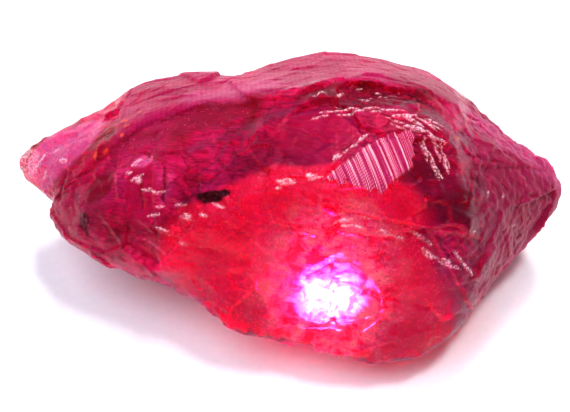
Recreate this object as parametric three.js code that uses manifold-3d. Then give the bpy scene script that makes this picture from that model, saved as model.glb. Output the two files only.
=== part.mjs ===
// A raw ruby crystal, millimetres, +Z up. It is one natural stone: several lobes of corundum
// that grew together, longest along X, lying on a small flat foot at z = 0.
import * as THREE from 'three';
import { ConvexGeometry } from 'three/addons/geometries/ConvexGeometry.js';
import { mergeVertices } from 'three/addons/utils/BufferGeometryUtils.js';
import Module from 'manifold-3d';

const wasm = await Module();
wasm.setup();

// Driving dimensions
const length = 58;
const depth = 34;
const height = 25;

// The stone's colour and finish
const rubyColour = 0xb81a3c;
const rubyRoughness = 0.35;
const rubyMetalness = 0;

// A place in the stone: along and across run from -1 to 1 over its length and depth,
// and up runs from 0 at the foot to 1 at the crest.
function place([along, across, up]) {
  return new THREE.Vector3(along * length / 2, across * depth / 2, up * height);
}

// Flat-sided lobes, each the convex body through its corners: crown first, then shoulders, then foot.
const lobes = {
  // the central mass, with the broad facet on its crown
  heart: [
    [-0.10, -0.12, 0.93], [0.20, -0.08, 1.00], [0.44, -0.12, 0.97], [0.56, -0.24, 0.86],
    [0.34, -0.50, 0.89], [0.12, -0.54, 0.89], [-0.16, -0.50, 0.84], [0.60, -0.46, 0.74],
    [0.02, 0.12, 0.94], [0.44, 0.14, 0.93], [0.58, 0.10, 0.82],
    [0.14, -0.66, 0.78], [0.30, -0.70, 0.76], [0.58, -0.62, 0.70],
    [-0.20, -0.68, 0.62], [0.62, -0.66, 0.42], [-0.10, -0.74, 0.25],
    [-0.10, 0.60, 0.30], [0.55, 0.55, 0.25], [0.45, -0.40, 0.00], [-0.15, -0.35, 0.00],
    [-0.15, 0.40, 0.00], [0.40, 0.40, 0.00],
  ],
  // the far lobe on the right, sloping away from the crest
  farRight: [
    [-0.14, 0.16, 0.89], [0.10, 0.12, 0.96], [0.26, 0.16, 0.985], [0.46, 0.14, 0.94],
    [-0.15, 0.76, 0.62], [-0.02, 0.81, 0.65], [0.14, 0.87, 0.66], [0.34, 0.80, 0.67],
    [0.50, 0.74, 0.65], [0.60, 0.46, 0.71], [0.60, 0.10, 0.83],
    [-0.10, 0.84, 0.32], [0.28, 1.00, 0.34], [0.56, 0.78, 0.32],
    [0.10, 0.66, 0.05], [0.46, 0.60, 0.05], [-0.16, 0.20, 0.30], [0.56, 0.00, 0.30],
  ],
  // the far lobe on the left, with a long smooth slope
  farLeft: [
    [-0.68, 0.00, 0.67], [-0.52, 0.16, 0.76], [-0.34, 0.18, 0.84], [-0.16, 0.14, 0.90],
    [-0.02, 0.12, 0.94], [-0.54, 0.73, 0.59], [-0.38, 0.76, 0.62], [-0.21, 0.74, 0.63],
    [-0.14, 0.68, 0.65], [-0.74, 0.47, 0.53], [-0.66, 0.62, 0.30], [-0.40, 0.88, 0.32],
    [-0.10, 0.80, 0.32], [-0.56, 0.40, 0.10], [-0.12, 0.52, 0.05], [-0.60, -0.20, 0.24],
    [-0.04, -0.20, 0.24],
  ],
  // the near shoulder on the left, below the far slope
  nearLeft: [
    [-0.64, -0.02, 0.66], [-0.66, -0.16, 0.61], [-0.36, 0.08, 0.80], [-0.02, 0.04, 0.92], [0.00, -0.36, 0.90],
    [-0.46, -0.18, 0.76], [-0.60, -0.22, 0.66], [-0.46, -0.52, 0.58], [-0.24, -0.60, 0.71],
    [-0.44, -0.62, 0.46], [-0.14, -0.70, 0.60], [-0.38, -0.66, 0.30], [-0.10, -0.74, 0.26],
    [-0.40, 0.20, 0.10], [-0.06, 0.20, 0.08], [-0.30, -0.36, 0.04], [-0.06, -0.46, 0.02],
  ],
  // the low lobe in front of it
  lowLeft: [
    [-0.62, -0.16, 0.61], [-0.82, -0.08, 0.51], [-0.70, -0.32, 0.57], [-0.58, -0.36, 0.62],
    [-0.74, -0.40, 0.46], [-0.86, -0.12, 0.40], [-0.82, -0.28, 0.38], [-0.68, -0.46, 0.37],
    [-0.52, -0.54, 0.35], [-0.40, -0.60, 0.46], [-0.36, -0.40, 0.64],
    [-0.64, -0.26, 0.22], [-0.42, -0.40, 0.16], [-0.62, 0.10, 0.18], [-0.36, 0.00, 0.10],
  ],
  // the pale tip
  tip: [
    [-1.00, 0.26, 0.43], [-0.98, 0.20, 0.37], [-0.96, 0.34, 0.46], [-0.88, 0.39, 0.50],
    [-0.70, 0.54, 0.55], [-0.86, 0.12, 0.53], [-0.66, 0.04, 0.67], [-0.88, 0.02, 0.40],
    [-0.70, -0.20, 0.54], [-0.92, 0.28, 0.28], [-0.70, 0.50, 0.26], [-0.74, -0.08, 0.26],
    [-0.46, 0.20, 0.62], [-0.46, 0.10, 0.14],
  ],
  // the low front, whose top is the narrow ledge under the central facets
  front: [
    [-0.14, -0.66, 0.62], [0.04, -0.70, 0.71], [0.24, -0.70, 0.70], [0.46, -0.68, 0.68],
    [0.59, -0.64, 0.63], [-0.30, -0.68, 0.50], [0.63, -0.66, 0.50],
    [-0.34, -0.70, 0.34], [-0.20, -0.86, 0.27], [-0.10, -0.88, 0.26], [0.08, -0.94, 0.24],
    [0.30, -1.00, 0.18], [0.42, -0.98, 0.18], [0.54, -0.88, 0.22], [0.62, -0.74, 0.30],
    [0.26, -0.78, 0.00], [0.42, -0.74, 0.00], [-0.02, -0.60, 0.00], [0.10, -0.20, 0.30],
    [-0.20, -0.46, 0.10], [0.50, -0.50, 0.00],
  ],
  // the underside, which carries the others and ends in the flat foot
  underside: [
    [-0.82, 0.10, 0.36], [-0.72, 0.40, 0.40], [-0.50, 0.66, 0.36], [-0.10, 0.74, 0.30],
    [0.26, 0.84, 0.34], [0.56, 0.68, 0.34], [0.84, 0.22, 0.32], [0.86, -0.08, 0.30],
    [0.70, -0.46, 0.30], [0.58, -0.70, 0.26], [0.20, -0.82, 0.20], [-0.16, -0.72, 0.28],
    [-0.44, -0.50, 0.30], [-0.72, -0.26, 0.34], [-0.30, 0.34, 0.00], [-0.16, 0.50, 0.00],
    [0.36, 0.52, 0.00], [0.54, 0.30, 0.00], [0.56, -0.30, 0.00], [0.46, -0.60, 0.00],
    [0.10, -0.64, 0.00], [-0.20, -0.36, 0.00],
  ],
  // the near flank on the right, between the low front and the blunt end
  nearFlank: [
    [0.46, -0.50, 0.84], [0.60, -0.42, 0.75], [0.76, -0.24, 0.60], [0.60, -0.64, 0.62],
    [0.66, -0.62, 0.50], [0.80, -0.36, 0.34], [0.74, -0.48, 0.28], [0.66, -0.64, 0.30],
    [0.60, -0.75, 0.28], [0.54, -0.85, 0.22], [0.50, -0.86, 0.30], [0.40, -0.60, 0.10],
    [0.56, -0.66, 0.06], [0.72, -0.30, 0.14], [0.40, -0.20, 0.30],
  ],
  // the far flank on the right
  farFlank: [
    [0.44, 0.16, 0.93], [0.58, 0.10, 0.82], [0.52, 0.66, 0.68], [0.66, 0.46, 0.64],
    [0.62, 0.54, 0.50], [0.72, 0.42, 0.36], [0.58, 0.66, 0.20], [0.40, 0.60, 0.20],
    [0.40, 0.20, 0.40], [0.60, 0.30, 0.12],
  ],
  // the neck that carries the tip, far side and near side
  farNeck: [
    [-0.80, 0.42, 0.52], [-0.66, 0.56, 0.56], [-0.56, 0.64, 0.58], [-0.54, 0.18, 0.74],
    [-0.72, 0.04, 0.63], [-0.84, 0.20, 0.52], [-0.80, 0.34, 0.34], [-0.60, 0.56, 0.30],
    [-0.56, 0.00, 0.30], [-0.70, 0.10, 0.22],
  ],
  nearNeck: [
    [-0.72, 0.02, 0.63], [-0.56, 0.02, 0.70], [-0.54, -0.16, 0.70], [-0.66, -0.20, 0.60],
    [-0.80, -0.08, 0.51], [-0.84, -0.02, 0.40], [-0.72, -0.26, 0.53], [-0.50, -0.44, 0.58],
    [-0.54, -0.44, 0.36], [-0.50, 0.00, 0.30], [-0.70, 0.00, 0.26],
  ],
  // the blunt matt end on the right
  rightEnd: [
    [0.44, 0.16, 0.90], [0.48, -0.16, 0.88], [0.62, -0.16, 0.78], [0.61, -0.44, 0.73],
    [0.78, -0.06, 0.66], [0.64, 0.50, 0.64], [0.82, 0.30, 0.55], [0.96, 0.15, 0.45],
    [1.00, 0.08, 0.39], [0.965, -0.04, 0.34], [0.92, -0.10, 0.42], [0.80, -0.36, 0.30],
    [0.66, -0.60, 0.28], [0.94, 0.16, 0.26], [0.72, 0.46, 0.16], [0.66, -0.40, 0.10],
    [0.40, 0.30, 0.10], [0.36, -0.46, 0.50], [0.82, 0.06, 0.18], [0.60, -0.62, 0.56],
  ],
};

// Breaks in the surface, each a sharp-sided piece broken out of the joined lobes.
const breaks = {
  // the crumbled hollow just behind the crest
  crestHollow: [
    [-0.02, -0.04, 1.02], [0.20, -0.05, 1.02], [0.46, -0.05, 1.02], [0.06, 0.19, 1.02],
    [0.30, 0.23, 1.02], [0.48, 0.20, 1.02], [0.10, 0.04, 0.935], [0.38, 0.03, 0.935],
    [0.14, 0.13, 0.915], [0.38, 0.14, 0.915],
  ],
};

// A closed geometry as a solid that can be joined and cut.
function solidOf(geometry) {
  geometry.deleteAttribute('normal');
  geometry.deleteAttribute('uv');
  const closed = mergeVertices(geometry, 1e-4);
  return new wasm.Manifold(new wasm.Mesh({
    numProp: 3,
    vertProperties: new Float32Array(closed.attributes.position.array),
    triVerts: new Uint32Array(closed.index.array),
  }));
}

// A solid as a flat-shaded geometry.
function geometryOf(solid) {
  const mesh = solid.getMesh();
  const geometry = new THREE.BufferGeometry();
  geometry.setAttribute('position', new THREE.BufferAttribute(mesh.vertProperties, 3));
  geometry.setIndex(new THREE.BufferAttribute(mesh.triVerts, 1));
  geometry.computeVertexNormals();
  return geometry;
}

function bodyThrough(corners) {
  return solidOf(new ConvexGeometry(corners.map(place)));
}

function rubyStone() {
  const joined = Object.values(lobes).map(bodyThrough).reduce((stone, lobe) => stone.add(lobe));
  return Object.values(breaks).map(bodyThrough).reduce((stone, piece) => stone.subtract(piece), joined);
}

const ruby = new THREE.Mesh(
  geometryOf(rubyStone()),
  new THREE.MeshStandardMaterial({
    color: rubyColour,
    roughness: rubyRoughness,
    metalness: rubyMetalness,
    flatShading: true,
  }),
);
ruby.name = 'ruby_crystal';

const model = new THREE.Group();
model.add(ruby);
export default model;
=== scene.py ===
import bpy
import bmesh
import math
import numpy as np
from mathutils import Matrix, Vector, noise
from mathutils.bvhtree import BVHTree
from mathutils.kdtree import KDTree


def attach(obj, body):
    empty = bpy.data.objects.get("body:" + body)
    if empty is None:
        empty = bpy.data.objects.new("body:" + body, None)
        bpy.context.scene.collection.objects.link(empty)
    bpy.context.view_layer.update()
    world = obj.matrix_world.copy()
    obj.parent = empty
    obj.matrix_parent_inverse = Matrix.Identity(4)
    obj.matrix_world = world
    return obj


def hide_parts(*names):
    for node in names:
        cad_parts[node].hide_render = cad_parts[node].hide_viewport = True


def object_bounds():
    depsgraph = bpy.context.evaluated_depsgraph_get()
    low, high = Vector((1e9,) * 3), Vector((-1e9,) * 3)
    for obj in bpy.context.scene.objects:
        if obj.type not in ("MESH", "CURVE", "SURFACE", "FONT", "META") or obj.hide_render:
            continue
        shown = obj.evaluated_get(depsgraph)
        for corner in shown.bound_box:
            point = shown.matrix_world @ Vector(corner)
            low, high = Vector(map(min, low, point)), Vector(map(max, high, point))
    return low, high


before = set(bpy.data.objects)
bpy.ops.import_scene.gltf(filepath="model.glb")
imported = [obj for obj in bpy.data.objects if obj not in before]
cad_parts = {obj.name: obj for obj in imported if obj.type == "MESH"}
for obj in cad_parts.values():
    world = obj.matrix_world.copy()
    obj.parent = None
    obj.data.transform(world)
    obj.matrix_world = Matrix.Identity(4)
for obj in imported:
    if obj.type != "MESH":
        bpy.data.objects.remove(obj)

# A raw ruby crystal on a white table, lit by softboxes and by a small torch that shines up through it.
# Everything is in metres; mm turns a length in millimetres into metres.
mm = 0.001
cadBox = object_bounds()
halfLength, halfDepth, stoneHeight = cadBox[1]   # the box stands on the table, centred on the origin


def linear(hexColour):  # sRGB hex to the linear colour that a socket wants
    parts = [int(hexColour[i:i + 2], 16) / 255 for i in (1, 3, 5)]
    return [c / 12.92 if c <= 0.04045 else ((c + 0.055) / 1.055) ** 2.4 for c in parts] + [1.0]


def addNode(tree, kind, inputs={}, ramp=(), **settings):
    node = tree.nodes.new(kind)
    for name, value in settings.items():
        setattr(node, name, value)
    for socket, value in inputs.items():
        if isinstance(value, bpy.types.Node):  # a node stands for its first live output
            value = next(output for output in value.outputs if output.enabled)
        if isinstance(value, bpy.types.NodeSocket):
            tree.links.new(value, node.inputs[socket])
        else:
            node.inputs[socket].default_value = value
    for i, (position, colour) in enumerate(ramp):
        stops = node.color_ramp.elements
        stop = stops[i] if i < len(stops) else stops.new(1.0)
        stop.position, stop.color = position, colour
    return node


def link(thing):
    bpy.context.scene.collection.objects.link(thing)
    return thing


view = {
    "elevation": 50,      # degrees above the table
    "distance": 136.5 * mm,
    "lens": 85,
    "film": 36,           # mm wide
    "aim": (-0.4 * mm, -3 * mm, 12 * mm),
}


def makeCamera():
    lens = bpy.data.cameras.new("camera")
    lens.lens = view["lens"]
    lens.sensor_width = view["film"]
    lens.clip_start = 1 * mm
    camera = link(bpy.data.objects.new("camera", lens))
    tilt = math.radians(view["elevation"])
    toCamera = Vector((0, -math.cos(tilt), math.sin(tilt)))
    camera.location = Vector(view["aim"]) + toCamera * view["distance"]
    camera.rotation_euler = toCamera.to_track_quat("Z", "Y").to_euler()
    bpy.context.scene.camera = camera


makeCamera()
print("camera set")

studio = {
    "tableSize": 1.2,
    "tableColour": "#eeeff4",
    "tableShade": "#e9eaf0",
    "tableGrain": 0.8 * mm,
    "tableRoughness": 0.6,
    "zenith": 0.18,           # the room overhead and on the near side is dim
    "horizon": 0.85,          # and the far side of the table is bright
    "dimAbove": 0.75,         # height over the horizon, as a sine, where the brightness ends
    "dimNear": (-0.3, 0.6),   # and how far it reaches round from the far side
    "backdrop": 1.0,
    "roomColour": "#f4f5ff",
    "softboxes": [  # name, place in mm, size in mm, watts, colour, and whether its reflection shows
        ("keySoftbox", (120, 440, 840), (240, 240), 8.0, "#fffaf5", False),
        ("topSoftbox", (280, -20, 1020), (176, 112), 5.4, "#ffffff", True),
        ("fillSoftbox", (-360, -240, 1000), (800, 800), 11.2, "#f2f5ff", False),
    ],
    "beamPlace": (4.2, -10.0, 8.4),      # mm; the torch's beam, which shines up through the low front
    "beamWay": (0, -0.64, 0.77),
    "beamRadius": 3.3,
    "beamCone": 120,
    "beamWatts": 0.115,
    "beamColour": "#fff0dc",
    "glows": [  # the light that it spreads in the stone: name, place and radius in mm, watts, colour
        ("torchHalo", (2.5, -9.0, 7.5), 4.0, 0.072, "#ff28d8"),
        ("torchLeft", (-3.5, -7.5, 8.5), 3.0, 0.012, "#ff1850"),
        ("torchRight", (10.5, -8.5, 8.0), 3.0, 0.009, "#ff1850"),
    ],
    "underPlace": (4.0, -5.4, -0.6),
    "underSize": 10.0,
    "underWatts": 0.007,
}


def mattLaminate():  # white laminate, pressed: even and matt, with a faint grain
    paint = bpy.data.materials.new("matt white laminate")
    paint.use_nodes = True
    tree = paint.node_tree
    tree.nodes.clear()
    place = addNode(tree, "ShaderNodeTexCoord").outputs["Object"]
    grain = addNode(tree, "ShaderNodeTexNoise", {
        "Vector": place, "Scale": 1 / studio["tableGrain"], "Detail": 4})
    tone = addNode(tree, "ShaderNodeValToRGB", {"Fac": grain}, ramp=[
        (0.3, linear(studio["tableShade"])), (0.7, linear(studio["tableColour"]))])
    skin = addNode(tree, "ShaderNodeBsdfPrincipled", {
        "Base Color": tone, "Roughness": studio["tableRoughness"]})
    addNode(tree, "ShaderNodeOutputMaterial", {"Surface": skin})
    return paint


def makeTable():
    shape = bmesh.new()
    hole = studio["underSize"] * mm / 2
    bmesh.ops.create_circle(shape, segments=48, radius=hole)
    spread = bmesh.ops.extrude_edge_only(shape, edges=list(shape.edges))["geom"]
    rim = [v for v in spread if isinstance(v, bmesh.types.BMVert)]
    growth = studio["tableSize"] / 2 / hole
    bmesh.ops.scale(shape, verts=rim, vec=(growth, growth, 1))
    centre = Vector((studio["underPlace"][0], studio["underPlace"][1], 0)) * mm
    bmesh.ops.translate(shape, verts=shape.verts, vec=centre)
    bmesh.ops.recalc_face_normals(shape, faces=shape.faces)
    mesh = bpy.data.meshes.new("table")
    shape.to_mesh(mesh)
    shape.free()
    table = link(bpy.data.objects.new("table", mesh))
    mesh.materials.append(mattLaminate())


def makeRoom():  # bright low on the far side, dim overhead and on the near side, plain to the eye
    world = bpy.data.worlds.new("studio")
    bpy.context.scene.world = world
    world.use_nodes = True
    tree = world.node_tree
    tree.nodes.clear()
    way = addNode(tree, "ShaderNodeTexCoord").outputs["Generated"]
    parts = addNode(tree, "ShaderNodeSeparateXYZ", {"Vector": way})
    low = addNode(tree, "ShaderNodeMapRange", {
        "Value": parts.outputs["Z"], "From Min": studio["dimAbove"], "From Max": 0.0})
    nearEnd, farEnd = studio["dimNear"]
    far = addNode(tree, "ShaderNodeMapRange", {
        "Value": parts.outputs["Y"], "From Min": nearEnd, "From Max": farEnd})
    both = addNode(tree, "ShaderNodeMath", {0: low, 1: far}, operation="MULTIPLY")
    glow = addNode(tree, "ShaderNodeMapRange", {
        "Value": both, "To Min": studio["zenith"], "To Max": studio["horizon"]})
    room = addNode(tree, "ShaderNodeBackground", {"Color": linear(studio["roomColour"]), "Strength": glow})
    seen = addNode(tree, "ShaderNodeBackground", {
        "Color": linear(studio["roomColour"]), "Strength": studio["backdrop"]})
    path = addNode(tree, "ShaderNodeLightPath")
    pick = addNode(tree, "ShaderNodeMixShader", {0: path.outputs["Is Camera Ray"], 1: room, 2: seen})
    addNode(tree, "ShaderNodeOutputWorld", {"Surface": pick})


def makeLights():
    for name, place, size, watts, colour, mirrored in studio["softboxes"]:
        light = bpy.data.lights.new(name, "AREA")
        light.shape = "RECTANGLE"
        light.size, light.size_y = size[0] * mm, size[1] * mm
        light.energy = watts
        light.color = linear(colour)[:3]
        box = link(bpy.data.objects.new(name, light))
        box.location = Vector(place) * mm
        box.rotation_euler = box.location.to_track_quat("Z", "Y").to_euler()
        box.visible_glossy = mirrored
    beam = bpy.data.lights.new("torchBeam", "SPOT")
    beam.energy = studio["beamWatts"]
    beam.color = linear(studio["beamColour"])[:3]
    beam.shadow_soft_size = studio["beamRadius"] * mm
    beam.spot_size = math.radians(studio["beamCone"])
    beam.spot_blend = 1.0
    torch = link(bpy.data.objects.new("torchBeam", beam))
    torch.location = Vector(studio["beamPlace"]) * mm
    torch.rotation_euler = (-Vector(studio["beamWay"])).to_track_quat("Z", "Y").to_euler()
    for name, place, radius, watts, colour in studio["glows"]:
        light = bpy.data.lights.new(name, "POINT")
        light.energy = watts
        light.color = linear(colour)[:3]
        light.shadow_soft_size = radius * mm
        glow = link(bpy.data.objects.new(name, light))
        glow.location = Vector(place) * mm
        glow.visible_transmission = False  # it lights the inner walls and isn't seen itself
    under = bpy.data.lights.new("torchUnderTable", "AREA")
    under.shape = "DISK"
    under.size = studio["underSize"] * mm
    under.energy = studio["underWatts"]
    disc = link(bpy.data.objects.new("torchUnderTable", under))
    disc.location = Vector(studio["underPlace"]) * mm
    disc.rotation_euler = (math.pi, 0, 0)


makeTable()
makeRoom()
makeLights()
bpy.context.scene.view_settings.view_transform = "Standard"   # keeps the table white and the red clean
print("table and lights set")

# Places on the stone are (along, across): -1 to 1 over its length and its depth, on its upper surface.
stone = {
    "grid": 0.58 * mm,            # spacing of the mesh
    "fineWay": (0, -0.5, 0.85),   # the upper and near sides get three times as fine a one
    "fineFrom": 0.15,
    "closeUp": ((0.33, -0.22), (6.5, 3.0), -10),   # and the flakes round the striped facet twice that
    "closeUpRim": 0.6,            # mm
    "closeUpFrom": 0.1,           # only where it faces up more than this
    "seed": 11,
    "sharpAngle": 24,             # degrees; edges bent more than this stay crisp
    "soften": 1,                  # rounds that take the saw teeth off the ridges
    "creaseFill": 24,             # rounds of filling where the lobes meet
    "footFree": (0.2, 1.2),       # mm up; the foot below stays flat
    "tipFree": (0.4, 2.6, 0.2),   # mm in from both ends, and the share of its carving that a tip still gets
    "upward": (-0.1, 0.25),       # slope over which a surface counts as facing up
    "downward": (-0.2, -0.6),     # and as part of the underside
    "wobble": (2.2, 0.4),         # mm; size and reach of the wander that takes outlines off their course
    "fineWobble": (0.7, 0.15),
    "bluntFrom": (12.5, 9.5),     # mm in from the right end; where the blunt end begins
    "rims": {"comb": 0.15, "frost": 0.5},   # mm; softness of the outlines
    "combRag": 0.5,               # mm
    # flat breaks, coarse to fine: size and lift in mm, lean as a slope, share of tone, how drawn out
    "plates": [
        (7.0, 0.06, 0.045, 0.5, (1.0, 1.0, 1.0)),
        (2.8, 0.03, 0.05, 0.4, (1.4, 0.9, 1.0)),
        (1.2, 0.015, 0.05, 0.2, (1.2, 0.9, 1.0)),
    ],
    "calm": {"glassy": 0.7, "comb": 0.8, "frost": 0.5},   # share of the flat breaks that these do without
    "grain": (0.6, 0.012, 0.15),  # mm; size of the sugary roughness, its height all over and on the blunt end
    "crumble": (0.9, 0.35),       # mm; size and height of the crumbs in the hollow
    "stepRun": (0.5, 2.2),        # in widths: how fast a step's drop dies out, and where it has ended
    "stepEdge": (-0.10, 0.22),    # mm; how sharp its edge is
    "stepWander": 0.25,           # mm
    "settle": 0.6,                # share of each point's move that comes from the points next to it
    # growth steps of the striped facet: their way, spacing and height in mm, and how they drift on the way
    "comb": ((0.93, 0.37, 0.0), 0.10, 0.02, 0.1),
    # how far each coat's flakes stand up, in half widths
    "coatLift": {"blush": 0.5, "pink": 0.3, "wine": -0.6, "black": -0.6, "rust": 0.2},
    # shell-like ripples: centre, pitch, where they end and where they begin to fade, and height, in mm
    "rings": ((0.35, -0.50), 0.42, (1.6, 0.96), 0.03),
    "flakeRim": (1.3, 0.8),       # in half widths; over which a flake's height falls off
    "flakeSlant": 0.35,           # how much lower than its crest its middle is
}


def meshFromCad():
    shape = bmesh.new()
    shape.from_mesh(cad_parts["ruby_crystal"].data)
    bmesh.ops.remove_doubles(shape, verts=shape.verts, dist=0.005 * mm)
    rough = bpy.data.meshes.new("rubyRough")
    shape.to_mesh(rough)
    shape.free()
    body = link(bpy.data.objects.new("rubyStone", rough))
    finer = body.modifiers.new("finer", "REMESH")
    finer.mode = "VOXEL"
    finer.voxel_size = stone["grid"]
    depsgraph = bpy.context.evaluated_depsgraph_get()
    fine = bpy.data.meshes.new_from_object(body.evaluated_get(depsgraph))
    body.modifiers.clear()
    body.data = fine
    fine.name = "rubyStone"
    return body


def readPoints(mesh):
    points = np.empty(len(mesh.vertices) * 3)
    mesh.vertices.foreach_get("co", points)
    return points.reshape(-1, 3) / mm


def readNormals(mesh):
    normals = np.empty(len(mesh.vertices) * 3)
    mesh.vertices.foreach_get("normal", normals)
    return normals.reshape(-1, 3)


def writePoints(mesh, points):
    mesh.vertices.foreach_set("co", (points * mm).ravel())
    mesh.update()


def refine(mesh, chosen, cuts):  # finer faces where all corners are chosen
    shape = bmesh.new()
    shape.from_mesh(mesh)
    fine = [edge for edge in shape.edges if all(chosen[vertex.index] for vertex in edge.verts)]
    bmesh.ops.subdivide_edges(shape, edges=fine, cuts=cuts, use_grid_fill=True)
    shape.to_mesh(mesh)
    shape.free()


def easing(low, high, value):  # 0 below low, 1 above high, smooth between
    t = np.clip((value - low) / (high - low), 0, 1)
    return t * t * (3 - 2 * t)


def neighbours(mesh):  # returns a function that averages values over the points next to each point
    ends = np.empty(len(mesh.edges) * 2, int)
    mesh.edges.foreach_get("vertices", ends)
    a, b = ends.reshape(-1, 2).T
    count = len(mesh.vertices)
    share = 1 / np.bincount(np.r_[a, b], minlength=count)

    def average(values):
        return (np.bincount(a, values[b], count) + np.bincount(b, values[a], count)) * share

    return average


def smoothOver(mesh, rounds, inwards):  # with inwards at 0, hollows fill and ridges stay sharp
    average = neighbours(mesh)
    points = readPoints(mesh)
    for turn in range(rounds):
        shift = np.stack([average(points[:, axis]) for axis in range(3)], 1) - points
        out = (shift * readNormals(mesh)).sum(1, keepdims=True)
        points += np.where(out > 0, shift, shift * inwards)
        writePoints(mesh, points)


def plates(points, size, lift, lean, stretch, rng):  # each break is flat and leans its own way
    scale = np.array(stretch) * size
    scaled = points / scale
    low, high = scaled.min(0), scaled.max(0)
    count = int((high - low).prod())
    seeds = low + rng.random((count, 3)) * (high - low)
    leans = rng.normal(0, lean, (count, 3))
    lifts = rng.uniform(-lift, lift, count)
    finder = KDTree(count)
    for i, seed in enumerate(seeds):
        finder.insert(seed, i)
    finder.balance()
    owner = np.array([finder.find(point)[1] for point in scaled])
    offset = (scaled - seeds[owner]) * scale
    return lifts[owner] + (offset * leans[owner]).sum(1), rng.uniform(-1, 1, count)[owner]


def grainOf(points, size):
    return np.array([noise.noise(Vector(p / size)) for p in points])


def onStone(tree, place):  # the point, in mm, on the upper surface at (along, across)
    above = Vector((place[0] * halfLength, place[1] * halfDepth, 2 * stoneHeight))
    hit = tree.ray_cast(above, Vector((0, 0, -1)))
    return np.array(hit[0]) / mm if hit[0] else None


def pathOn(tree, route):
    found = [onStone(tree, place) for place in route]
    return [place for place in found if place is not None]


def alongPath(points, normals, route):  # distance to the path, and which side of it: positive on the right
    best = np.full(len(points), 1e9)
    side = np.zeros(len(points))
    for start, end in zip(route[:-1], route[1:]):
        way = end - start
        t = np.clip(((points - start) @ way) / (way @ way), 0, 1)
        gap = points - (start + t[:, None] * way)
        away = np.linalg.norm(gap, axis=1)
        right = np.einsum("ij,ij->i", np.cross(way, normals), gap)
        nearer = away < best
        best[nearer] = away[nearer]
        side[nearer] = np.sign(right[nearer])
    return best, side


# Steps in the surface, in mm: it drops by the depth on the right of each route and comes back over the width.
steps = {
    "farSlopeFoot": ([(-0.70, -0.05), (-0.50, 0.10), (-0.30, 0.15), (0.0, 0.05)], 0.45, 3.0),
    "farGully": ([(-0.20, 0.60), (-0.25, 0.35), (-0.35, 0.15)], 0.22, 2.4),
    "hollowBack": ([(0.05, 0.10), (0.15, 0.20), (0.40, 0.15), (0.45, 0.10)], 0.75, 2.6),
    "glassyEdge": ([(0.0, -0.10), (-0.05, -0.40)], -0.08, 2.4),
    "combBack": ([(0.35, -0.25), (0.20, -0.40), (0.15, -0.50)], 0.25, 1.4),
    "darkFacetFoot": ([(0.10, -0.60), (0.30, -0.65), (0.60, -0.60)], 0.45, 2.4),
    "ledge": ([(0.05, -0.65), (0.30, -0.70), (0.45, -0.65), (0.60, -0.75)], 0.40, 2.0),
    "columnSide": ([(-0.45, -0.10), (-0.45, -0.50)], 0.40, 2.0),
    "lowLobeEdge": ([(-0.80, -0.30), (-0.70, -0.45), (-0.60, -0.55)], 0.40, 1.6),
    "nearLobeFoot": ([(-0.45, -0.50), (-0.25, -0.65)], 0.30, 1.5),
    "rightRidge": ([(0.65, -0.20), (0.80, -0.05), (0.90, 0.05)], 0.40, 1.8),
    "endCorner": ([(0.60, -0.70), (0.50, -0.95)], -0.30, 1.4),
}
# Kinds of surface, as ovals: centre (along, across), half length and half width in mm, turn in degrees,
# and for some the softness of the rim.
kinds = {
    "glassy": ((0.10, -0.25), (4.2, 3.0), -20),
    "crumble": ((0.25, 0.05), (6.0, 2.2), 0),
    "window": ((0.13, -0.82), (6.6, 3.9), 0, 0.38),     # where the torch shines through
}
combCorners = [(0.10, -0.50), (0.30, -0.55), (0.40, -0.40), (0.40, -0.20), (0.30, -0.25)]
frostCorners = [(-0.60, 0.05), (-0.30, 0.15), (-0.05, 0.10), (0.10, 0.20), (0.45, 0.15), (0.60, 0.10),
                (0.60, 1.0), (-0.60, 1.0)]
patches = {  # coat, strength, and an oval
    "dullPlane": ("mauve", 0.60, (-0.35, 0.05), (8.0, 1.4), 5),
    # painted light: the far lobe is made paler pink where it faces the light
    "litFarLobe": ("pink", 0.25, (-0.20, 0.25), (5.0, 2.4), 0),
    "neck": ("pink", 0.85, (-0.80, 0.20), (4.5, 3.2), 25),
    "neckBreak": ("crimson", 0.60, (-0.75, -0.05), (3.0, 1.2), -10),
    "tip": ("blush", 0.50, (-1.0, 0.20), (2.6, 3.0), 20),
    "neckPlane": ("wine", 0.80, (-0.65, -0.20), (1.3, 1.5), 0),
    "lowLobe": ("mauve", 0.60, (-0.75, -0.30), (4.0, 2.4), -30),
    "column": ("crimson", 0.80, (-0.50, -0.30), (1.6, 2.4), 0),
    "columnChip": ("pink", 0.80, (-0.50, -0.15), (1.0, 0.7), 0),
    # a darker patch at the low edge of the near lobe
    "darkEdge": ("darkPatch", 0.40, (-0.60, -0.50), (1.2, 1.6), 20),
    "brokenNear": ("wine", 0.70, (-0.20, -0.60), (2.6, 1.5), 0),
    # painted shade: the hollow is darkened to wine, its pit and its far end almost to black
    "hollow": ("wine", 0.80, (0.25, 0.05), (6.0, 2.2), 0),
    "hollowPit": ("darkPatch", 0.60, (0.25, 0.15), (0.9, 0.6), 0),
    "hollowEnd": ("darkPatch", 0.60, (0.45, 0.10), (0.8, 1.0), 0),
    "glassyFacet": ("crimson", 0.60, (0.10, -0.25), (4.2, 3.0), -20),
    "darkFacet": ("wine", 0.65, (0.45, -0.50), (4.6, 2.2), 0),
    "crestEnd": ("wine", 0.45, (0.48, 0.30), (4.2, 3.4), 0),
    # painted highlight: a paler pink band along the right ridge
    "rightRidgeHighlight": ("pink", 0.30, (0.80, 0.15), (6.5, 2.4), -10),
    # painted glow: bright red painted over the heart and the front, where the torch's light shows through
    "heartGlow": ("paintedGlow", 0.75, (0.0, -0.60), (13.0, 3.4), 0),
    "frontGlow": ("paintedGlow", 0.75, (0.10, -0.85), (13.0, 4.4), 0),
    # painted shade: a black stroke painted as the shade inside a narrow slot
    "paintedSlotShade": ("black", 0.80, (-0.70, -0.35), (0.5, 1.0), 20),
    "inclusion": ("black", 1.00, (-0.25, -0.45), (1.7, 0.5), -10),
}
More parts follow.
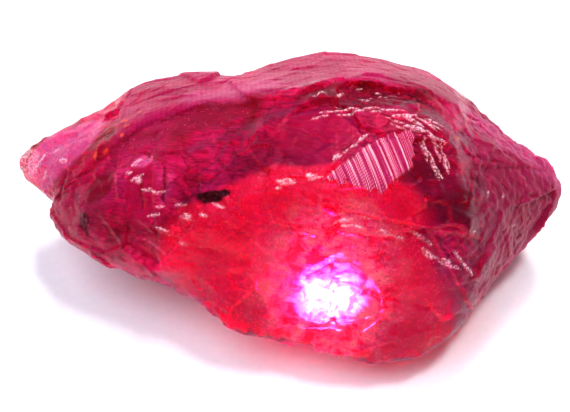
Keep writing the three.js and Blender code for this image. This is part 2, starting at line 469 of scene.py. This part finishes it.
# Flakes and cracks, scattered by the seed over an oval: coat, count, centre, half sizes in mm, turn and its
# spread in degrees, and the range of lengths and of half widths in mm.
# The pale flakes are partly pale chips and partly painted glints, set where small breaks catch the light.
flakeFields = {
    "shoulder": ("blush", 14, (0.40, -0.16), (4.4, 1.0), -14, 12, (1.0, 3.2), (0.07, 0.16)),
    "shoulderFan": ("blush", 8, (0.47, -0.32), (1.3, 1.3), -66, 8, (1.2, 2.6), (0.09, 0.13)),
    "crestEdge": ("blush", 8, (0.20, -0.10), (5.0, 0.5), 4, 10, (0.8, 2.6), (0.08, 0.16)),
    "combBack": ("blush", 5, (0.20, -0.32), (2.6, 0.4), 35, 14, (0.6, 1.7), (0.08, 0.16)),
    "hollow": ("blush", 12, (0.20, 0.05), (4.5, 1.6), 10, 40, (0.4, 1.1), (0.10, 0.16)),
    "hollowCracks": ("black", 9, (0.30, 0.05), (4.5, 1.8), 10, 40, (0.5, 1.6), (0.10, 0.20)),
    "facetFoot": ("blush", 8, (0.05, -0.50), (4.5, 0.5), 0, 12, (0.5, 1.5), (0.11, 0.22)),
    "ledge": ("blush", 13, (0.35, -0.68), (7.5, 0.5), -2, 10, (0.8, 2.6), (0.10, 0.15)),
    "nearDashes": ("blush", 12, (-0.35, -0.45), (4.5, 2.6), -24, 14, (0.6, 1.8), (0.10, 0.14)),
    "nearLines": ("pink", 12, (-0.35, -0.68), (4.0, 1.4), -32, 10, (1.4, 4.0), (0.10, 0.15)),
    "inclusionCracks": ("wine", 9, (-0.20, -0.55), (2.4, 1.6), -30, 50, (0.8, 2.2), (0.11, 0.22)),
    "column": ("blush", 5, (-0.50, -0.18), (1.3, 1.4), 0, 25, (0.5, 1.2), (0.12, 0.24)),
    "columnSide": ("wine", 2, (-0.45, -0.30), (0.3, 2.2), 88, 6, (2.0, 4.0), (0.14, 0.24)),
    "neckChips": ("blush", 9, (-0.84, 0.12), (3.0, 3.0), 30, 50, (0.5, 1.4), (0.12, 0.26)),
    "neckCracks": ("wine", 18, (-0.80, 0.08), (4.0, 3.2), 40, 80, (1.5, 4.5), (0.10, 0.15)),
    # painted glints: small orange spots near the neck and at the blunt end
    "neckGlints": ("rust", 7, (-0.58, 0.12), (3.6, 1.0), 45, 40, (0.3, 0.8), (0.11, 0.16)),
    "endGlints": ("rust", 2, (0.55, -0.12), (0.5, 0.4), -10, 20, (0.4, 0.8), (0.12, 0.2)),
    "endPits": ("wine", 90, (0.78, 0.0), (6.0, 6.5), -25, 60, (0.3, 0.9), (0.10, 0.18)),
    "endChips": ("blush", 6, (0.70, -0.45), (4.0, 3.0), 30, 60, (0.3, 0.8), (0.10, 0.18)),
    "nearCracks": ("wine", 6, (0.05, -0.45), (15.0, 3.5), -12, 30, (1.0, 3.5), (0.10, 0.14)),
}


def insideOutline(points, outline, soft):  # 1 well inside, 0 outside, over the soft edge
    corners = np.array(outline) * (halfLength / mm, halfDepth / mm)
    flat = points[:, :2]
    inside = np.zeros(len(points), bool)
    nearest = np.full(len(points), 1e9)
    for start, end in zip(corners, np.roll(corners, -1, 0)):
        way = end - start
        t = np.clip(((flat - start) @ way) / (way @ way), 0, 1)
        nearest = np.minimum(nearest, np.linalg.norm(flat - start - t[:, None] * way, axis=1))
        crosses = (start[1] > flat[:, 1]) != (end[1] > flat[:, 1])
        reach = start[0] + (flat[:, 1] - start[1]) * way[0] / (way[1] if way[1] else 1e-9)
        inside ^= crosses & (flat[:, 0] < reach)
    return easing(-soft, soft, np.where(inside, nearest, -nearest))


def insideOval(points, centre, halfSizes, turn, soft=0.12):  # 1 inside, 0 outside, soft at the rim
    way = math.radians(turn)
    gap = points[:, :2] - np.array(centre) * (halfLength / mm, halfDepth / mm)
    along = gap @ (math.cos(way), math.sin(way)) / halfSizes[0]
    across = gap @ (-math.sin(way), math.cos(way)) / halfSizes[1]
    return easing(1 + soft, 1 - soft, np.hypot(along, across))


def scatterIn(rng, centre, halfSizes, turn, spread, lengths, halfWidths):  # ends and half width of a flake
    way = math.radians(turn)
    out, angle = math.sqrt(rng.random()), rng.uniform(0, 2 * math.pi)
    along, across = out * math.cos(angle) * halfSizes[0], out * math.sin(angle) * halfSizes[1]
    middle = np.array(centre) * (halfLength / mm, halfDepth / mm) + (
        along * math.cos(way) - across * math.sin(way), along * math.sin(way) + across * math.cos(way))
    heading = way + math.radians(rng.uniform(-spread, spread))
    half = rng.uniform(*lengths) / 2 * np.array([math.cos(heading), math.sin(heading)])
    toPlace = (mm / halfLength, mm / halfDepth)
    return [(middle - half) * toPlace, (middle + half) * toPlace], rng.uniform(*halfWidths)


def flake(points, normals, route, halfWidth, wander):  # sharp-ended, and highest along one side
    start, end = route
    way = end - start
    shape = np.zeros(len(points))
    near = np.linalg.norm(points - (start + end) / 2, axis=1) < np.linalg.norm(way) / 2 + halfWidth
    gap = points[near] - start
    t = np.clip((gap @ way) / (way @ way), 0, 1)
    side = np.cross(normals[near], way / np.linalg.norm(way))
    offset = (gap * side).sum(1) + wander[near] * halfWidth
    width = halfWidth * np.sqrt(np.clip(1 - (2 * t - 1) ** 2, 0, 1)) + 0.01
    slant = 1 + stone["flakeSlant"] * (np.clip(offset / width, -1, 1) - 1)
    shape[near] = easing(*stone["flakeRim"], np.abs(offset) / width) * slant
    return shape


def keepAttribute(mesh, name, values):
    layer = mesh.attributes.new(name, "FLOAT", "POINT")
    layer.data.foreach_set("value", np.ascontiguousarray(values, dtype=np.float32))


def refineStone(mesh):  # finer where the stone is looked at most
    refine(mesh, readNormals(mesh) @ np.array(stone["fineWay"]) > stone["fineFrom"], 2)
    points = readPoints(mesh)
    near = insideOutline(points, combCorners, stone["closeUpRim"]) + insideOval(points, *stone["closeUp"])
    refine(mesh, near * (readNormals(mesh)[:, 2] > stone["closeUpFrom"]) > 0, 1)


def findRegions(points, moved, facesUp, normals, wobble, fineWobble):  # 0 to 1 at every point
    ragged = moved + (fineWobble * stone["combRag"])[:, None]
    area = {name: insideOval(moved, *oval) * facesUp for name, oval in kinds.items()}
    area["comb"] = insideOutline(ragged, combCorners, stone["rims"]["comb"]) * facesUp
    area["frost"] = insideOutline(moved, frostCorners, stone["rims"]["frost"]) * facesUp
    area["blunt"] = easing(*stone["bluntFrom"], halfLength / mm - points[:, 0] - wobble)
    area["foot"] = easing(*stone["downward"], normals[:, 2])
    for coat in ruby["coats"]:
        area.setdefault(coat, np.zeros(len(points)))
    for coat, strength, *oval in patches.values():
        area[coat] = np.maximum(area[coat], insideOval(moved, *oval) * facesUp * strength)
    return area


def flatBreaks(points, area, rng):  # the smooth facets have fewer of them
    move = np.zeros(len(points))
    area["tone"] = np.zeros(len(points))
    for size, lift, lean, share, stretch in stone["plates"]:
        height, tone = plates(points, size, lift, lean, stretch, rng)
        move += height
        area["tone"] += tone * share
    calm = np.max([area[name] * share for name, share in stone["calm"].items()], 0)
    area["tone"] *= 1 - calm
    return move * (1 - calm)


def sugarAndCrumbs(points, area):
    grainSize, allOver, onEnd = stone["grain"]
    sugar = grainOf(points, grainSize) * (allOver + (onEnd - allOver) * area["blunt"])
    crumbSize, crumbHeight = stone["crumble"]
    return sugar + np.abs(grainOf(points, crumbSize)) * crumbHeight * area["crumble"]


def stepsDown(points, normals, surface, wobble):
    move = np.zeros(len(points))
    fall, rise = stone["stepRun"]
    for route, depth, width in steps.values():
        away, side = alongPath(points, normals, pathOn(surface, route))
        away = away + wobble * stone["stepWander"]
        drop = np.exp(-np.clip(away, 0, None) / (width * fall)) * easing(width * rise, width, away)
        move -= depth * drop * easing(*stone["stepEdge"], side * away)
    return move


def flakesAndCracks(points, normals, surface, area, fineWobble, rng):
    move = np.zeros(len(points))
    for coat, count, *field in flakeFields.values():
        for i in range(count):
            route, halfWidth = scatterIn(rng, *field)
            ends = pathOn(surface, route)
            if len(ends) == 2:
                shape = flake(points, normals, ends, halfWidth, fineWobble)
                area[coat] = np.maximum(area[coat], shape)
                move += shape * halfWidth * stone["coatLift"][coat]
    return move


def growthSteps(points, area):  # of the striped facet
    way, pitch, height, drift = stone["comb"]
    across = points @ np.array(Vector(way).normalized()) / pitch
    area["tread"] = np.array([noise.noise(Vector((a, drift * b, 0))) for a, b in zip(across, points[:, 1])])
    return height * area["tread"] * area["comb"]


def shellRings(points, surface):
    centre, pitch, (outer, inner), height = stone["rings"]
    away = np.linalg.norm(points - onStone(surface, centre), axis=1)
    return height * np.cos(away / pitch * 2 * math.pi) * easing(outer, inner, away)


def carve(mesh, rng):  # shapes the stone and returns its regions
    surface = BVHTree.FromPolygons([v.co for v in mesh.vertices], [p.vertices for p in mesh.polygons])
    points = readPoints(mesh)
    normals = readNormals(mesh)
    free = easing(*stone["footFree"], points[:, 2])
    tipOuter, tipInner, tipShare = stone["tipFree"]
    free *= easing(tipOuter, tipInner, halfLength / mm - np.abs(points[:, 0])) * (1 - tipShare) + tipShare
    facesUp = easing(*stone["upward"], normals[:, 2])
    wobble = grainOf(points, stone["wobble"][0])
    fineWobble = grainOf(points, stone["fineWobble"][0])
    moved = points + (wobble * stone["wobble"][1] + fineWobble * stone["fineWobble"][1])[:, None]
    area = findRegions(points, moved, facesUp, normals, wobble, fineWobble)

    move = flatBreaks(points, area, rng)
    move += sugarAndCrumbs(points, area)
    move += stepsDown(points, normals, surface, wobble)
    move = neighbours(mesh)(move) * stone["settle"] + move * (1 - stone["settle"])
    move += flakesAndCracks(points, normals, surface, area, fineWobble, rng)
    move += growthSteps(points, area)
    move += shellRings(points, surface)
    del area["glassy"]  # the material has no use for it

    points += normals * (move * free)[:, None]
    points[:, 2] = np.maximum(points[:, 2], 0)
    writePoints(mesh, points)
    return area


# Natural corundum, red with chromium. Its growth faces are frosted and its fresh breaks are glossy, so
# light comes back pink from the haze and deep red from the clear parts. It is see-through. Sizes are in mm.
ruby = {
    "wine": "#5e041c", "crimson": "#930842", "raspberry": "#a4155c", "pink": "#ba4a88", "frosted": "#860a42",
    # the orange at the end of the next line is for painted glints
    "blush": "#f0cbd9", "mauve": "#74173c", "darkPatch": "#34121a", "black": "#0c0506", "rust": "#e0602c",
    # orchid and the bright red at the end of this line are painted glow, the torch's light put into the
    # colour
    "orchid": "#f070d0", "rose": "#e0809c", "paintedGlow": "#e00c38",
    "clouds": [(0.36, "wine"), (0.48, "crimson"), (0.60, "raspberry"), (0.74, "pink")],
    # the islands are painted glow: pale mottling where the torch shines through
    "isles": [(0.44, "paintedGlow"), (0.49, "orchid"), (0.62, "blush")],
    "stripes": [(0.10, "crimson"), (0.45, "raspberry"), (0.75, "rose"), (1.0, "blush")],
    "stripeRange": (-0.5, 0.5),
    "ior": 1.76,
    "specular": 0.06,          # weak and reddish, so that the white table doesn't grey the red
    "specularTint": "#ff5a8c",
    "clarity": 0.5,
    "hazyLoss": 0.3,           # how much of it haze takes away
    "flakeLoss": 0.9,          # and how much of it and of the scatter a pale flake takes away
    "cloudSize": 8.0,
    "warpSize": 2.5,
    "warpReach": 1.2,
    "breakSize": 1.6,
    "breakTone": (0.72, 1.25),   # darkest and lightest of the small flat breaks
    "chipSize": 0.55,
    "toneChange": 0.20,
    "veinSize": 3.5,
    "veinWidth": 0.04,         # as a share of the size
    "veinDepth": 0.55,
    "islandSize": 1.9,
    "islands": 0.9,
    "streakSize": (2.6, 0.22, 0.3),   # fine parting lines, drawn out along the stone
    "streakTurn": -14,
    "streakTone": 0.38,
    "ragSize": 0.25,           # pale flakes, partly pale chips and partly painted glints, are torn
    "ragBand": (0.38, 0.60),
    "ragLeast": 0.1,
    "gritSize": 0.35,
    "gritDepth": 0.10,
    "roughness": (0.05, 0.20),
    "hazeRoughness": 0.28,
    "grit": (0.05, 0.07, 0.30),   # bump strength where clear, what haze adds and what the blunt end adds
    "lineDepth": 0.09,
    "lineStrength": (0.9, -0.6),  # bump strength of the lines, and what the blunt end adds
    "lines": [  # growth lines: region, way, pitch, wander in pitches, height, colour change
        ("frost", (1, 0.05, 0), 0.50, 0.8, 0.35, 0.20),
        ("blunt", (0.37, 0.93, 0), 0.60, 0.5, 0.06, 0.05),
    ],
    "coats": {  # attribute: strength and colour
        "frost": (0.75, "frosted"), "blunt": (0.85, "mauve"), "foot": (0.6, "raspberry"),
        "mauve": (1.0, "mauve"), "crimson": (1.0, "crimson"), "wine": (1.0, "wine"), "pink": (1.0, "pink"),
        "darkPatch": (1.0, "darkPatch"), "paintedGlow": (1.0, "paintedGlow"), "blush": (1.0, "blush"), "rust": (1.0, "rust"),
        "black": (1.0, "black"),
    },
    "haze": [("frost", 1.0), ("blunt", 1.0), ("comb", 0.8), ("blush", 1.0), ("pink", 0.5), ("mauve", 0.5),
             ("window", 0.7), ("foot", 1.0), ("paintedGlow", 0.6)],
    "lean": 0.06,              # how far the small breaks lean, and what these regions add
    "moreLean": [("crumble", 0.2), ("blush", 0.4), ("window", 0.08)],
    "scatter": (3.0, 0.7, 1.3),   # mm that red, green and blue travel
    "absorb": (0.975, 0.06, 0.60),
    "density": 430,
}


def namedStops(named):
    return [(position, linear(ruby[name])) for position, name in named]


def cloudyRed(tree, place, warped, breaks, tone):  # deeper and paler red, with a tone for each flat break
    cloud = addNode(tree, "ShaderNodeTexNoise", {
        "Vector": place, "Scale": 1 / (ruby["cloudSize"] * mm), "Detail": 6, "Roughness": 0.62})
    clouds = addNode(tree, "ShaderNodeValToRGB", {"Fac": cloud}, ramp=namedStops(ruby["clouds"]))
    cell = addNode(tree, "ShaderNodeSeparateColor", {"Color": breaks.outputs["Color"]})
    darkest, lightest = ruby["breakTone"]
    level = addNode(tree, "ShaderNodeMapRange", {
        "Value": cell.outputs["Red"], "To Min": darkest, "To Max": lightest})
    toned = addNode(tree, "ShaderNodeMath", {
        0: tone, 1: ruby["toneChange"], 2: level}, operation="MULTIPLY_ADD")
    colour = addNode(tree, "ShaderNodeHueSaturation", {"Color": clouds, "Value": toned})
    edges = addNode(tree, "ShaderNodeTexVoronoi", {
        "Vector": warped, "Scale": 1 / (ruby["veinSize"] * mm)}, feature="DISTANCE_TO_EDGE")
    veins = addNode(tree, "ShaderNodeMapRange", {
        "Value": edges, "From Min": 0.0, "From Max": ruby["veinWidth"], "To Min": ruby["veinDepth"],
        "To Max": 0.0})
    return addNode(tree, "ShaderNodeMix", {0: veins, 6: colour, 7: linear(ruby["wine"])}, data_type="RGBA")


def islandsOver(tree, warped, window, colour):  # painted glow: pale islands and bright red between them, where the torch shines
    isles = addNode(tree, "ShaderNodeTexNoise", {
        "Vector": warped, "Scale": 1 / (ruby["islandSize"] * mm), "Detail": 7, "Roughness": 0.68,
        "Distortion": 0.6})
    island = addNode(tree, "ShaderNodeValToRGB", {"Fac": isles}, ramp=namedStops(ruby["isles"]))
    shown = addNode(tree, "ShaderNodeMath", {0: window, 1: ruby["islands"]}, operation="MULTIPLY")
    return addNode(tree, "ShaderNodeMix", {0: shown, 6: colour, 7: island}, data_type="RGBA")


def streaksOver(tree, warped, colour):  # parting lines, drawn out along the stone
    drawn = addNode(tree, "ShaderNodeMapping", {
        "Vector": warped, "Rotation": (0, 0, math.radians(ruby["streakTurn"])),
        "Scale": [size * mm for size in ruby["streakSize"]]}, vector_type="TEXTURE")
    streak = addNode(tree, "ShaderNodeTexNoise", {
        "Vector": drawn, "Scale": 1.0, "Detail": 4, "Roughness": 0.6})
    shade = addNode(tree, "ShaderNodeMapRange", {
        "Value": streak, "From Min": 0.35, "From Max": 0.65, "To Min": 1 - ruby["streakTone"],
        "To Max": 1 + ruby["streakTone"]})
    return streak, addNode(tree, "ShaderNodeHueSaturation", {"Color": colour, "Value": shade})


def coatsOver(tree, mask, colour):
    for name, (share, coat) in ruby["coats"].items():
        amount = addNode(tree, "ShaderNodeMath", {0: mask[name], 1: share}, operation="MULTIPLY")
        colour = addNode(tree, "ShaderNodeMix", {
            0: amount, 6: colour, 7: linear(ruby[coat])}, data_type="RGBA")
    return colour


def linesOver(tree, place, warp, mask, relief, colour):  # growth lines: flat treads with short risers
    for name, way, pitch, wander, height, change in ruby["lines"]:
        along = addNode(tree, "ShaderNodeVectorMath", {
            0: place, 1: Vector(way).normalized() / (pitch * mm)}, operation="DOT_PRODUCT")
        drift = addNode(tree, "ShaderNodeMath", {0: warp, 1: wander, 2: along}, operation="MULTIPLY_ADD")
        tread = addNode(tree, "ShaderNodeMath", {0: drift}, operation="FRACT")
        tall = addNode(tree, "ShaderNodeMath", {0: mask[name], 1: height}, operation="MULTIPLY")
        relief = addNode(tree, "ShaderNodeMath", {0: tread, 1: tall, 2: relief}, operation="MULTIPLY_ADD")
        light = addNode(tree, "ShaderNodeMapRange", {
            "Value": tread, "To Min": 1 - change, "To Max": 1 + change})
        colour = addNode(tree, "ShaderNodeHueSaturation", {
            "Color": colour, "Value": light, "Fac": mask[name]})
    return relief, colour


def tornFlakes(tree, place, blush):
    rag = addNode(tree, "ShaderNodeTexNoise", {
        "Vector": place, "Scale": 1 / (ruby["ragSize"] * mm), "Detail": 3})
    ragLow, ragHigh = ruby["ragBand"]
    torn = addNode(tree, "ShaderNodeMapRange", {
        "Value": rag, "From Min": ragLow, "From Max": ragHigh, "To Min": ruby["ragLeast"], "To Max": 1.0})
    return addNode(tree, "ShaderNodeMath", {0: blush, 1: torn}, operation="MULTIPLY")


def stripesOver(tree, mask, colour):  # the treads of the striped facet are much paler than its risers: partly their own colour, partly a painted reflection
    lowest, highest = ruby["stripeRange"]
    level = addNode(tree, "ShaderNodeMapRange", {
        "Value": mask["tread"], "From Min": lowest, "From Max": highest})
    stripe = addNode(tree, "ShaderNodeValToRGB", {"Fac": level}, ramp=namedStops(ruby["stripes"]))
    return addNode(tree, "ShaderNodeMix", {0: mask["comb"], 6: colour, 7: stripe}, data_type="RGBA")


def brokenFacing(tree, warped, breaks, mask):  # small flat breaks catch the light one by one
    slope = ruby["lean"]
    for name, share in ruby["moreLean"]:
        slope = addNode(tree, "ShaderNodeMath", {0: mask[name], 1: share, 2: slope}, operation="MULTIPLY_ADD")
    facing = addNode(tree, "ShaderNodeNewGeometry").outputs["Normal"]
    chips = addNode(tree, "ShaderNodeTexVoronoi", {"Vector": warped, "Scale": 1 / (ruby["chipSize"] * mm)})
    for pattern in (breaks, chips):
        lean = addNode(tree, "ShaderNodeVectorMath", {
            0: pattern.outputs["Color"], 1: (0.5, 0.5, 0.5)}, operation="SUBTRACT")
        leaned = addNode(tree, "ShaderNodeVectorMath", {0: lean, "Scale": slope}, operation="SCALE")
        facing = addNode(tree, "ShaderNodeVectorMath", {0: facing, 1: leaned}, operation="ADD")
    return addNode(tree, "ShaderNodeVectorMath", {0: facing}, operation="NORMALIZE")


def corundum(regions):
    skin = bpy.data.materials.new("raw ruby corundum")
    skin.use_nodes = True
    tree = skin.node_tree
    tree.nodes.clear()
    place = addNode(tree, "ShaderNodeTexCoord").outputs["Object"]
    mask = {}
    for name in regions:
        mask[name] = addNode(tree, "ShaderNodeAttribute", attribute_name=name).outputs["Fac"]
    mask["blush"] = tornFlakes(tree, place, mask["blush"])
    warp = addNode(tree, "ShaderNodeTexNoise", {
        "Vector": place, "Scale": 1 / (ruby["warpSize"] * mm), "Detail": 3})
    warped = addNode(tree, "ShaderNodeVectorMath", {
        0: warp.outputs["Color"], 1: [ruby["warpReach"] * mm] * 3, 2: place}, operation="MULTIPLY_ADD")
    breaks = addNode(tree, "ShaderNodeTexVoronoi", {"Vector": warped, "Scale": 1 / (ruby["breakSize"] * mm)})
    colour = cloudyRed(tree, place, warped, breaks, mask["tone"])
    colour = islandsOver(tree, warped, mask["window"], colour)
    streak, colour = streaksOver(tree, warped, colour)
    colour = coatsOver(tree, mask, colour)
    relief, colour = linesOver(tree, place, warp, mask, streak, colour)
    colour = stripesOver(tree, mask, colour)

    # haze makes a surface rougher and less clear
    hazy = 0.0
    for name, share in ruby["haze"]:
        part = addNode(tree, "ShaderNodeMath", {0: mask[name], 1: share}, operation="MULTIPLY")
        hazy = addNode(tree, "ShaderNodeMath", {0: part, 1: hazy}, operation="MAXIMUM")
    grit = addNode(tree, "ShaderNodeTexNoise", {
        "Vector": place, "Scale": 1 / (ruby["gritSize"] * mm), "Detail": 3})
    smoothest, roughest = ruby["roughness"]
    gloss = addNode(tree, "ShaderNodeMapRange", {
        "Value": grit, "From Min": 0.3, "From Max": 0.7, "To Min": smoothest, "To Max": roughest})
    roughness = addNode(tree, "ShaderNodeMath", {
        0: hazy, 1: ruby["hazeRoughness"], 2: gloss}, operation="MULTIPLY_ADD")
    bleed = addNode(tree, "ShaderNodeMath", {
        0: mask["blush"], 1: -ruby["flakeLoss"], 2: 1.0}, operation="MULTIPLY_ADD")
    clear = addNode(tree, "ShaderNodeMath", {
        0: hazy, 1: -ruby["hazyLoss"], 2: ruby["clarity"]}, operation="MULTIPLY_ADD")
    clear = addNode(tree, "ShaderNodeMath", {0: clear, 1: bleed}, operation="MULTIPLY")

    # grit and lines as fine relief; the blunt end is sugary, with weaker lines
    clearGrit, hazeGrit, bluntGrit = ruby["grit"]
    gritty = addNode(tree, "ShaderNodeMath", {0: hazy, 1: hazeGrit, 2: clearGrit}, operation="MULTIPLY_ADD")
    gritty = addNode(tree, "ShaderNodeMath", {
        0: mask["blunt"], 1: bluntGrit, 2: gritty}, operation="MULTIPLY_ADD")
    lineAll, lineBlunt = ruby["lineStrength"]
    lined = addNode(tree, "ShaderNodeMath", {
        0: mask["blunt"], 1: lineBlunt, 2: lineAll}, operation="MULTIPLY_ADD")
    fine = addNode(tree, "ShaderNodeBump", {
        "Strength": gritty, "Distance": ruby["gritDepth"] * mm, "Height": grit,
        "Normal": brokenFacing(tree, warped, breaks, mask)})
    bump = addNode(tree, "ShaderNodeBump", {
        "Strength": lined, "Distance": ruby["lineDepth"] * mm, "Height": relief, "Normal": fine})

    bsdf = addNode(tree, "ShaderNodeBsdfPrincipled", {
        "Base Color": colour, "Roughness": roughness, "Transmission Weight": clear, "Normal": bump,
        "IOR": ruby["ior"], "Specular IOR Level": ruby["specular"],
        "Specular Tint": linear(ruby["specularTint"]), "Subsurface Weight": bleed, "Subsurface Scale": 1.0,
        "Subsurface Radius": [reach * mm for reach in ruby["scatter"]]})
    soak = addNode(tree, "ShaderNodeVolumeAbsorption", {
        "Color": (*ruby["absorb"], 1), "Density": ruby["density"]})
    addNode(tree, "ShaderNodeOutputMaterial", {"Surface": bsdf, "Volume": soak})
    return skin


body = meshFromCad()
mesh = body.data
smoothOver(mesh, stone["soften"], 1.0)
smoothOver(mesh, stone["creaseFill"], 0.0)
refineStone(mesh)
print("stone mesh", len(mesh.vertices), "points")

regions = carve(mesh, np.random.default_rng(stone["seed"]))
for name, values in regions.items():
    keepAttribute(mesh, name, values)
mesh.shade_smooth()
mesh.set_sharp_from_angle(angle=math.radians(stone["sharpAngle"]))
print("stone carved")

mesh.materials.clear()
mesh.materials.append(corundum(regions))
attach(body, "root")
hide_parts("ruby_crystal")
print("corundum applied")
